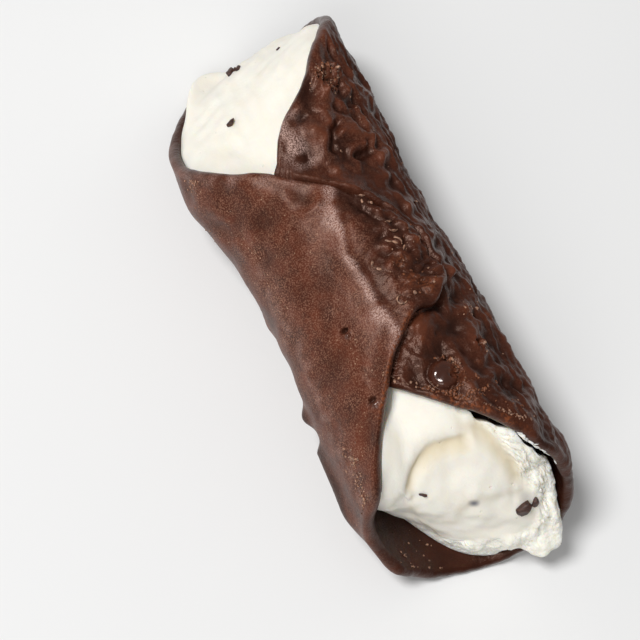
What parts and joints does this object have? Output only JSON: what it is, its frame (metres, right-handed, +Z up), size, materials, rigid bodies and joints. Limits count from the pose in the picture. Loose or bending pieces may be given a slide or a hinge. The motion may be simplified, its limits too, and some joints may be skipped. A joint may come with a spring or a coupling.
{
  "type": "chocolate-coated cannolo",
  "caption": "Fried dough sheet rolled to a tube with a pointed overlapping flap, coated in dark chocolate and filled with ricotta cream.",
  "frame": {"origin": "on the surface the cannolo rests on, under the middle of its box", "axes": "+Y along the roll, toward its back mouth; +X toward the side the flap points to; +Z up"},
  "size_m": [0.0482, 0.1288, 0.0434],
  "materials": {
    "chocolate": "dark chocolate coat over blistered fried dough, satin with a dusty bloom",
    "cream": "off-white sweet ricotta cream, moist and smooth, crumbly where it was torn"
  },
  "bodies": {
    "root": {"shell": "chocolate", "cream": "cream"}
  },
  "joints": []
}
